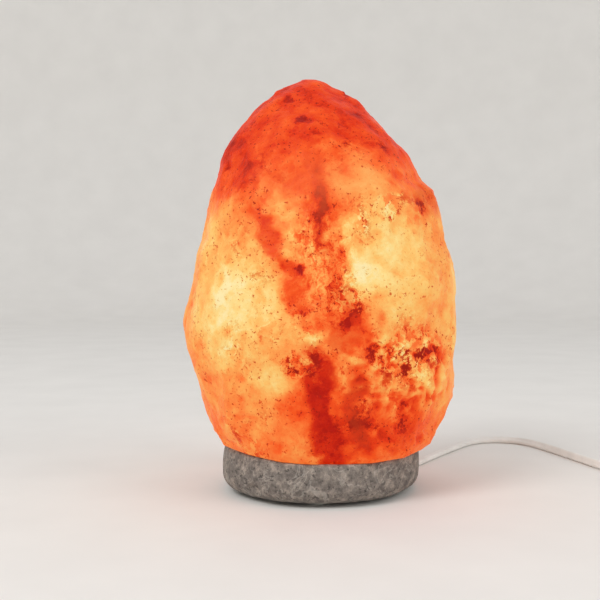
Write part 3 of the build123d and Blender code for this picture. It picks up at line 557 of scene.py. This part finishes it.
def patch(middle, reach, tilt=0.0, core=0.1):
    """1 at a place in the block, fading to 0 at the given distances from it, in millimetres. Its
    foot leans to the right by tilt degrees as seen from the front."""
    local = salt.add("ShaderNodeMapping", [
        ("Vector", bent), ("Location", tuple(value * MM for value in middle)),
        ("Rotation", (0, math.radians(-tilt), 0)), ("Scale", tuple(value * MM for value in reach))],
        vector_type="TEXTURE").outputs["Vector"]
    length = salt.add("ShaderNodeVectorMath", [(0, local)], operation="LENGTH").outputs["Value"]
    return salt.fade(length, 1.0, core)


def total(start, patches, core=0.1):
    """Adds patches, each with its own strength, to a starting value."""
    for strength, *where in patches:
        start = salt.math("MULTIPLY_ADD", patch(*where, core), strength, start)
    return start


print("nodes that bend the space:", len(salt.tree.nodes))

# %% [markdown]
# The glow starts from the height: strong beside the bulb, weaker at the top and low down. Then each
# patch makes one place clearer or thicker, and noise of two sizes makes all of it cloudy. Upright
# streaks in the middle of the front are the same kind of noise, stretched.

# %% Glow
# The height is in metres here, as all coordinates in a finish are.
up = salt.add("ShaderNodeSeparateXYZ", [("Vector", bent)]).outputs["Z"]
by_height = salt.math("ADD", salt.fade(up, 0.136, 0.206, 0.57, 0.16),
                      salt.fade(up, 0.020, 0.085, -0.15, 0.0))
glow = total(by_height, [
    # Strength, middle and reach in mm, and lean in degrees. First the places of the front.
    (0.40, (-42, -40, 104), (36, 50, 44), 0),
    (0.08, (-58, -20, 140), (30, 50, 30), 14),
    (0.20, (-18, -58, 158), (13, 30, 15), 0),
    (0.22, (-24, -55, 66), (17, 30, 12), -20),
    (0.04, (-42, -40, 50), (28, 40, 22), 0),
    (-0.10, (-34, -50, 82), (14, 40, 10), 0),
    (0.25, (34, -50, 128), (40, 46, 36), -20),
    (0.16, (16, -50, 170), (26, 40, 15), -10),
    (-0.14, (-4, -60, 158), (22, 40, 14), 10),
    (0.24, (19, -60, 119), (13, 30, 16), 0),
    (0.26, (-4, -60, 88), (9, 30, 6), 24),
    (-0.36, (-12, -30, 201), (5, 30, 5), 0),
    (-0.40, (-13, -60, 122), (6, 30, 4), -30),
    (-0.45, (33, -55, 80), (3, 30, 7), 4),
    (-0.40, (27, -55, 84), (7, 30, 4), 40),
    (-0.30, (54, -40, 79), (8, 30, 5), 0),
    (-0.30, (20, -58, 84), (12, 30, 12), 0),
    (-0.24, (12, -60, 98), (18, 30, 14), 0),
    (0.14, (30, -50, 160), (30, 40, 22), -30),
    (0.14, (17, -50, 184), (20, 40, 12), 0),
    (-0.10, (-11, -60, 163), (12, 40, 12), 0),
    (0.14, (64, -10, 100), (28, 50, 50), 0),
    (-0.22, (8, -60, 60), (26, 40, 50), 8),
    (-0.28, (34, -45, 42), (44, 45, 27), 0),
    (-0.27, (62, -30, 79), (16, 40, 15), 0),
    (-0.14, (-12, -58, 52), (11, 40, 20), 0),
    # A red band comes down from the upper left, and a fainter one down the middle.
    (-0.16, (-52, -20, 186), (22, 60, 24), 30),
    (-0.12, (-54, -26, 168), (13, 60, 14), 0),
    (-0.22, (-40, -50, 171), (11, 60, 20), 4),
    (-0.10, (-34, -54, 158), (10, 60, 26), 12),
    (-0.26, (-26, -58, 140), (9, 60, 26), 24),
    (-0.34, (-14, -60, 114), (9, 60, 22), 24),
    (-0.22, (-4, -60, 101), (12, 60, 13), 0),
    (-0.26, (-2, -60, 162), (9, 60, 26), 6),
    (-0.18, (7, -60, 153), (12, 60, 15), 0),
    (-0.20, (3, -60, 140), (7, 60, 24), 8),
    (-0.30, (8, -60, 122), (9, 60, 30), 10),
    # The rest is on the sides and the back.
    (0.34, (60, 30, 110), (34, 34, 46), 0),
    (0.26, (-62, 26, 92), (34, 36, 40), 0),
    (0.38, (-16, 62, 124), (36, 40, 40), 20),
    (0.28, (30, 58, 84), (30, 36, 30), -30),
    (-0.24, (14, 64, 150), (16, 40, 60), -24),
    (-0.20, (-36, 50, 60), (18, 40, 40), 30),
])
for size, detail, rough, strength in ((22, 4, 0.6, 0.06), (6, 5, 0.7, 0.05)):
    cloud = salt.fade(salt.noise(size, bent, detail, rough), 0.30, 0.70, -strength, strength)
    glow = salt.math("ADD", glow, cloud)
upright = salt.add("ShaderNodeMapping", [("Vector", bent), ("Scale", (1, 1, 0.22))]).outputs["Vector"]
streaks = salt.fade(salt.noise(4.5, upright, 5, 0.75), 0.36, 0.62, -0.20, 0.16)
glow = salt.math("MULTIPLY_ADD", streaks, patch((1, -60, 128), (26, 50, 44), 10), glow)
print("nodes with the glow:", len(salt.tree.nodes))

# %% [markdown]
# The relief from the carving comes back here as painted shade: hollows are darkened and ridges
# lightened, so the shape still shows through the glow. In the crumbly places the salt has broken into
# crumbs a few millimetres across, and each crumb glows by its own amount. All of this changes the glow
# before it becomes a colour, so that what is dimmer is also redder, as in real salt.

# %% Painted relief shade and crumbs in the glow
deepest = 1.8    # relief that counts in full, in mm
crumb_size = 3.4    # in mm
relief_for_painted_shade = salt.add("ShaderNodeAttribute", attribute_name="relief").outputs["Fac"]
# Painted shade and light: hollows darken the glow and ridges brighten it.
glow = salt.math("ADD", glow, salt.fade(relief_for_painted_shade, -deepest, deepest, -0.21, 0.27))
clusters = total(salt.fade(salt.noise(24, bent, 3, 0.6), 0.54, 0.68, 0.03, 0.45), [
    (0.9, (-10, -60, 142), (9, 30, 7), 0),
    (0.9, (19, -60, 146), (9, 30, 8), 0),
    (0.9, (36, -55, 156), (14, 30, 7), 30),
    (0.8, (52, -40, 156), (12, 30, 8), 0),
    (1.0, (12, -60, 106), (12, 30, 20), 20),
    (1.0, (42, -48, 78), (36, 40, 22), 8),
    (0.9, (-10, -60, 74), (16, 30, 8), 20),
    (0.9, (-50, 40, 92), (36, 36, 26), 0),
])
clusters = salt.math("MINIMUM", clusters, 1.0)
crumb = salt.add("ShaderNodeSeparateColor", [("Color", salt.cells(crumb_size, bent))]).outputs["Red"]
crumb_glow = salt.fade(crumb, 0.0, 1.0, -0.25, 0.16)
glow = salt.math("MULTIPLY_ADD", crumb_glow, clusters, glow)
grain_noise = salt.math("ADD", salt.noise(2.0, None, 5, 0.8), salt.noise(9.0, None, 2, 0.5))
grains = salt.math("MULTIPLY", salt.fade(grain_noise, 1.06, 1.14), clusters)
glow = salt.math("MULTIPLY_ADD", grains, -0.5, glow)
print("nodes with relief and crumbs:", len(salt.tree.nodes))

# %% [markdown]
# Bands of clay cross the block: red ones, brown ones and a pink veil near the top. Clay first takes
# light away and then tints what is left, so the edge of a band goes from yellow through orange to
# red. Fine dark specks are scattered over everything.

# %% Bands of clay and specks
ragged = salt.fade(salt.noise(6, bent, 5, 0.7), 0.26, 0.52, 0.25, 1.0)
red = total(0.0, [
    (0.22, (-27, -58, 142), (6, 60, 24), 24),
    (1.1, (-2, -58, 64), (9, 60, 27), 10),
    (1.1, (4, -58, 34), (11, 60, 28), 14),
    (0.35, (12, -60, 92), (18, 50, 9), 80),
    (0.9, (50, 20, 60), (12, 60, 50), -20),
    (0.9, (-20, 50, 170), (12, 60, 50), 35),
    (0.9, (6, 60, 70), (14, 60, 46), -30),
], 0.35)
red = salt.math("MULTIPLY", red, ragged, clamp=True)
brown = total(0.0, [
    (0.4, (-1, -60, 168), (7, 50, 20), 8),
    (0.45, (2, -60, 146), (5, 50, 26), 6),
    (0.3, (12, -60, 106), (7, 50, 20), 22),
    (0.8, (18, -56, 50), (6, 50, 26), 4),
    (0.6, (56, -24, 160), (16, 40, 14), 40),
    (0.7, (30, 58, 120), (12, 50, 40), 20),
    (0.7, (-58, 30, 130), (20, 40, 16), 50),
], 0.3)
brown = salt.math("MULTIPLY", brown, ragged, clamp=True)
specks = salt.fade(salt.noise(1.8, None, 3, 0.7), 0.59, 0.67)
specks = salt.math("MULTIPLY", specks, salt.fade(salt.noise(16, bent, 2), 0.40, 0.60, 0.15, 1.0))
for band, strength in ((red, -0.28), (brown, -0.12), (specks, -0.36)):
    glow = salt.math("MULTIPLY_ADD", band, strength, glow)
print("nodes with clay and specks:", len(salt.tree.nodes))

# %% [markdown]
# Now the glow becomes a colour. The stops of the ramp run from deep red through orange to pale
# yellow, the way light changes on its way through ever thinner salt. After the ramp the clay, the
# veil, the specks and the dark grains between the crumbs get their own tints.

# %% Colour of the salt
color = salt.ramp(
    glow,
    (0.00, srgb(164, 18, 2)), (0.14, srgb(226, 52, 8)), (0.30, srgb(246, 86, 26)),
    (0.45, srgb(252, 124, 54)), (0.60, srgb(253, 162, 80)), (0.75, srgb(252, 194, 106)),
    (0.88, srgb(252, 218, 138)), (1.00, srgb(252, 232, 172)))
veil = patch((4, -40, 168), (52, 70, 20))
for place, share, tint in (
        (red, 0.55, srgb(196, 20, 2)), (brown, 0.5, srgb(196, 62, 24)),
        (veil, 0.4, srgb(250, 112, 58)), (specks, 0.5, srgb(140, 34, 6)),
        (grains, 0.5, srgb(142, 30, 6))):
    color = salt.mix(salt.math("MULTIPLY", place, share), color, tint)
print("nodes with the colours:", len(salt.tree.nodes))

# %% [markdown]
# The same colours serve twice. Most of the light comes out of the salt itself, and the rest is what
# the surface throws back, so the relief still shows. The base colour thus holds the salt's own bands
# and the glow together, so it is partly the salt's colour and partly painted light.

# %% Shader of the salt
sent_out, thrown_back = 0.66, 0.34
# Painted light: the glow's colours, at a third of their strength, are painted into the base colour too.
base_with_painted_glow = salt.mix(1.0, color, (thrown_back, thrown_back, thrown_back, 1), "MULTIPLY")
salt.set("Base Color", base_with_painted_glow)
salt.set("Emission Color", color)
salt.set("Emission Strength", sent_out)
salt.set("Specular IOR Level", 0.12)
skin = salt.math("MULTIPLY_ADD", salt.noise(2.0, None, 4, 0.65), 0.5, salt.noise(6.5, None, 4, 0.65))
salt.bump(skin, 1.1, 0.9)
salt.set("Roughness", salt.fade(salt.noise(12), 0.3, 0.7, 0.34, 0.6))
salt.on(crystal)

# %% [markdown]
# ## The stone base
#
# The base is a turned disc of grey stone with a softly rounded rim. It was never polished, so its
# edge wanders a little, the top edge is worn on one side, and a chip is missing low on the front. A
# bevelled cylinder would look machine-made, so the frame's disc is remeshed and carved like the
# crystal, with the same helpers.

# %% Carve the base
disc_radius = 55.0    # a shift in mm, divided by this, is a share of the radius
worn_depth, grain_depth, chip_depth = 2.2, 0.32, 2.4
stone_piece = frame_copy("stone_base", "stone_disc", 1.25)
points, normals = read_points(stone_piece)
from_axis, turn = around(points)
rim = ease(from_axis, 44, 51)
wander = 0.5 * np.sin(3 * turn + 0.8) + 0.35 * np.sin(7 * turn + 2.0) - 0.6
points[:, :2] *= (1 + rim * wander / disc_radius)[:, None]
worn_edge = rim * ease(-np.cos(turn - 0.3), 0.1, 0.9) * ease(points[:, 2], 14.0, 23.5)
points[:, :2] *= (1 - worn_edge * worn_depth / disc_radius)[:, None]
points[:, 2] += rim_lift(points) * ease(points[:, 2], 11, 21)
points += normals * (rim * lumps(points, 9.0, 3, 2.2) * grain_depth)[:, None]
chip = near(points, (-36, -42, 7.5), (7, 7, 4.5), 0.3)
points -= normals * (chip * chip_depth)[:, None]
write_points(stone_piece, points)
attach(stone_piece, "lamp")
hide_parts("stone_base")
print("the rim wanders by", round(float(np.ptp(rim * wander)), 2), "mm")

# %% [markdown]
# The stone is a mottled warm grey with dark mineral grains and a few thin pale veins. A vein is the
# place where a cloudy noise crosses its middle value, which gives long winding lines without drawing
# them.

# %% Finish of the stone
stone = Finish("grey_stone", roughness=0.7)
mottle = stone.fade(stone.noise(5.5, None, 6, 0.75), 0.32, 0.68)
stone_color = stone.ramp(
    mottle, (0.0, srgb(88, 81, 76)), (0.4, srgb(117, 109, 102)), (0.7, srgb(137, 128, 119)),
    (1.0, srgb(164, 153, 142)))
dark_grains = stone.fade(stone.noise(2.4, None, 4, 0.75), 0.54, 0.64)
stone_color = stone.mix(stone.math("MULTIPLY", dark_grains, 0.75), stone_color, srgb(48, 44, 42))
from_middle = stone.math("SUBTRACT", stone.noise(17, None, 4, 0.6, 0.8), 0.5)
pale_veins = stone.fade(stone.math("ABSOLUTE", from_middle), 0.022, 0.0)
stone_color = stone.mix(stone.math("MULTIPLY", pale_veins, 0.35), stone_color, srgb(190, 184, 174))
stone.set("Base Color", stone_color)
stone.set("Roughness", stone.fade(mottle, 0, 1, 0.62, 0.82))
skin = stone.math("MULTIPLY_ADD", stone.noise(1.4, None, 4, 0.7), 0.6, stone.noise(5, None, 4, 0.6))
stone.bump(skin, 0.7, 0.7)
stone.on(stone_piece)

# %% [markdown]
# ## Moulded, metal and glass pieces
#
# The pieces of the lampholder, the clips, the bulb, the switch and the plug have exact shapes in the
# frame already, so they only get a finish. One plain colour would do for such small pieces, but up
# close each family is uneven in its own way: mould grain and faint clouds in plastic, drawn lines
# and dull places in metal. So each family is a function, and each finish is one call of it.

# %% Families of finishes
def darker(color, share):
    return tuple(value * share for value in color[:3]) + (1,)


def moulded(name, color, roughness, *pieces, grain=0.9, depth=0.03):
    """Plastic or rubber from a mould, with a grain of the given size and depth in mm."""
    finish = Finish(name, roughness)
    clouds = finish.fade(finish.noise(14, None, 4, 0.6), 0.3, 0.7)
    finish.set("Base Color", finish.mix(clouds, darker(color, 0.90), color))
    finish.set("Roughness", finish.fade(finish.noise(5), 0.3, 0.7, roughness - 0.06, roughness + 0.08))
    finish.bump(finish.noise(grain, None, 3, 0.6), depth, 0.7)
    finish.on(*pieces)


def metal(name, color, roughness, *pieces, drawn=(1, 1, 12)):
    """Metal with fine lines. They run across the axis along which drawn is large."""
    finish = Finish(name, roughness, metallic=1.0)
    stretched = finish.add("ShaderNodeMapping", [
        ("Vector", finish.place), ("Scale", drawn)]).outputs["Vector"]
    lines = finish.noise(2.5, stretched, 3, 0.6)
    dull = finish.fade(finish.noise(7, None, 4, 0.65), 0.42, 0.75)
    dull = finish.math("MULTIPLY", dull, 0.6)
    finish.set("Base Color", finish.mix(dull, color, darker(color, 0.62)))
    finish.set("Roughness", finish.fade(lines, 0.3, 0.7, roughness - 0.08, roughness + 0.10))
    finish.bump(lines, 0.02, 0.6)
    finish.on(*pieces)


moulded("white_holder", srgb(232, 230, 224), 0.34, "holder_cap", "holder_body", "cord_clamp")
moulded("white_cord", srgb(238, 236, 231), 0.42, cord, inner_cord, grain=1.6)
moulded("white_switch", srgb(236, 234, 229), 0.30, "switch_base", "switch_cover")
moulded("white_rocker", srgb(226, 224, 219), 0.26, "switch_rocker", depth=0.015)
moulded("white_plug", srgb(236, 234, 229), 0.36, "plug_body", "plug_boot")
moulded("pin_sleeve", srgb(48, 48, 50), 0.45, "plug_sleeves")
moulded("tie_plastic", srgb(206, 205, 200), 0.5, "coil_ties")
moulded("clear_rubber", srgb(206, 205, 198), 0.55, "base_feet", grain=1.6, depth=0.06)
moulded("anchor_plastic", srgb(178, 176, 170), 0.5, "screw_anchors")
moulded("brown_lead", srgb(116, 70, 42), 0.45, "lead_live", "switch_leads")
moulded("blue_lead", srgb(60, 98, 158), 0.45, "lead_neutral")
moulded("bulb_glaze", srgb(30, 30, 34), 0.16, "bulb_insulator", depth=0.01)
metal("zinc_steel", srgb(188, 190, 194), 0.34, "clip_bracket", "base_screws", "clamp_screws",
      "terminal_screws", "switch_screws", "rocker_pin", "clip_pins")
metal("spring_steel", srgb(168, 172, 178), 0.26, "clip_left", "clip_right")
metal("brass", srgb(214, 176, 98), 0.28, "bracket_nut", "screw_shell", "centre_contact",
      "terminal_blocks", "switch_contacts")
metal("nickel_pins", srgb(206, 204, 198), 0.18, "plug_pins")
metal("bulb_cap_metal", srgb(204, 204, 206), 0.24, "bulb_cap")
metal("solder", srgb(158, 160, 164), 0.42, "bulb_tip_contact", drawn=(1, 1, 1))
metal("support_steel", srgb(150, 150, 152), 0.35, "bulb_support_wires")

# %% [markdown]
# Three finishes are one of a kind. The insert of the lampholder is fired ceramic with a thin glaze
# and a few specks. The bulb is clear glass, slightly wavy from blowing. The filament is so hot that
# it glows by itself. It could light the salt for real, but the salt's own finish already glows, so
# a modest strength is enough.

# %% Ceramic, glass and filament
fired = Finish("white_ceramic", roughness=0.2)
speckle = fired.fade(fired.noise(1.2, None, 2, 0.6), 0.66, 0.72)
speckle = fired.math("MULTIPLY", speckle, 0.5)
fired.set("Base Color", fired.mix(speckle, srgb(234, 230, 220), srgb(172, 160, 142)))
fired.set("Coat Weight", 0.5)
fired.bump(fired.noise(4, None, 2), 0.05, 0.5)
fired.on("holder_insert")

clear = Finish("clear_glass", roughness=0.03)
clear.set("Base Color", (1.0, 0.97, 0.92, 1))
clear.set("Transmission Weight", 1.0)
clear.set("IOR", 1.47)
clear.bump(clear.noise(9, None, 2), 0.03, 0.4)
clear.on("bulb_glass", "bulb_stem")

hot = Finish("hot_wire", roughness=0.4)
hot.set("Base Color", srgb(120, 96, 70))
heat = hot.fade(hot.noise(1.5, None, 2), 0.3, 0.7)
hot.set("Emission Color", hot.mix(heat, srgb(255, 176, 84), srgb(255, 206, 126)))
hot.set("Emission Strength", 6.0)
hot.on("bulb_filament")

# %% [markdown]
# ## Floor and light
#
# A plane would end in a hard horizon. So a pale round floor curves up into a wall all round, and
# every side has the same pale background. Its outline is drawn once and spun round the axis.

# %% Floor
def round_cove():
    """A flat round floor whose rim curves up into a wall. Its sizes are in metres."""
    work = bmesh.new()
    reach, bend, top = 1.5, 0.6, 1.5
    bend_steps, round_steps = 10, 72
    rim = [work.verts.new((0, 0, 0)), work.verts.new((reach, 0, 0))]
    for step in range(1, bend_steps + 1):
        turn = math.pi / 2 * step / bend_steps
        rim.append(work.verts.new((reach + bend * math.sin(turn), 0, bend * (1 - math.cos(turn)))))
    rim.append(work.verts.new((reach + bend, 0, top)))
    lines = [work.edges.new(pair) for pair in zip(rim, rim[1:])]
    bmesh.ops.spin(work, geom=rim + lines, cent=(0, 0, 0), axis=(0, 0, 1), angle=2 * math.pi,
                   steps=round_steps)
    bmesh.ops.remove_doubles(work, verts=work.verts, dist=MM)
    bmesh.ops.recalc_face_normals(work, faces=work.faces)
    # The inside is what is seen, so the normals turn towards the middle.
    bmesh.ops.reverse_faces(work, faces=[face for face in work.faces if face.normal.z < -0.01 or
                                         face.normal.dot(face.calc_center_median()) > 0.1])
    mesh = bpy.data.meshes.new("floor")
    work.to_mesh(mesh)
    work.free()
    floor = bpy.data.objects.new("floor", mesh)
    bpy.context.collection.objects.link(floor)
    for face in mesh.polygons:
        face.use_smooth = True
    return floor


floor = round_cove()
pale = Finish("pale_floor", roughness=0.75)
pale_noise = pale.noise(60, None, 3)
pale.set("Base Color", pale.ramp(pale_noise, (0.3, srgb(232, 230, 226)), (0.7, srgb(236, 234, 230))))
pale.set("Specular IOR Level", 0.05)
pale.on(floor)

# %% [markdown]
# Two large soft lamps and a pale surround light the object at a plain level. Small lamps would throw
# hard shadows, and strong ones would drown the glow. So the lamps are wide, gentle disks, and the
# stronger one stands on the left.

# %% Lamps and surround
def soft_lamp(name, place, size, power):
    """A round lamp that faces the middle of the object."""
    data = bpy.data.lights.new(name, "AREA")
    data.shape = "DISK"
    data.size = size
    data.energy = power
    lamp = bpy.data.objects.new(name, data)
    lamp.location = place
    aim = Vector((0, 0, 0.11)) - Vector(place)
    lamp.rotation_euler = aim.to_track_quat("-Z", "Y").to_euler()
    bpy.context.collection.objects.link(lamp)


soft_lamp("key", place=(-1.1, -1.2, 1.5), size=1.0, power=17.5)
soft_lamp("fill", place=(1.1, -0.7, 0.7), size=0.9, power=4)
world = bpy.data.worlds.new("surround")
world.use_nodes = True
surround = world.node_tree.nodes["Background"]
surround.inputs["Color"].default_value = (0.88, 0.88, 0.9, 1)
surround.inputs["Strength"].default_value = 0.75
bpy.context.scene.world = world
bpy.context.scene.view_settings.view_transform = "Standard"
print("power of the lamps:", [light.energy for light in bpy.data.lights])

# %% [markdown]
# ## The size
#
# The dressed lamp has to stay as large as the frame.
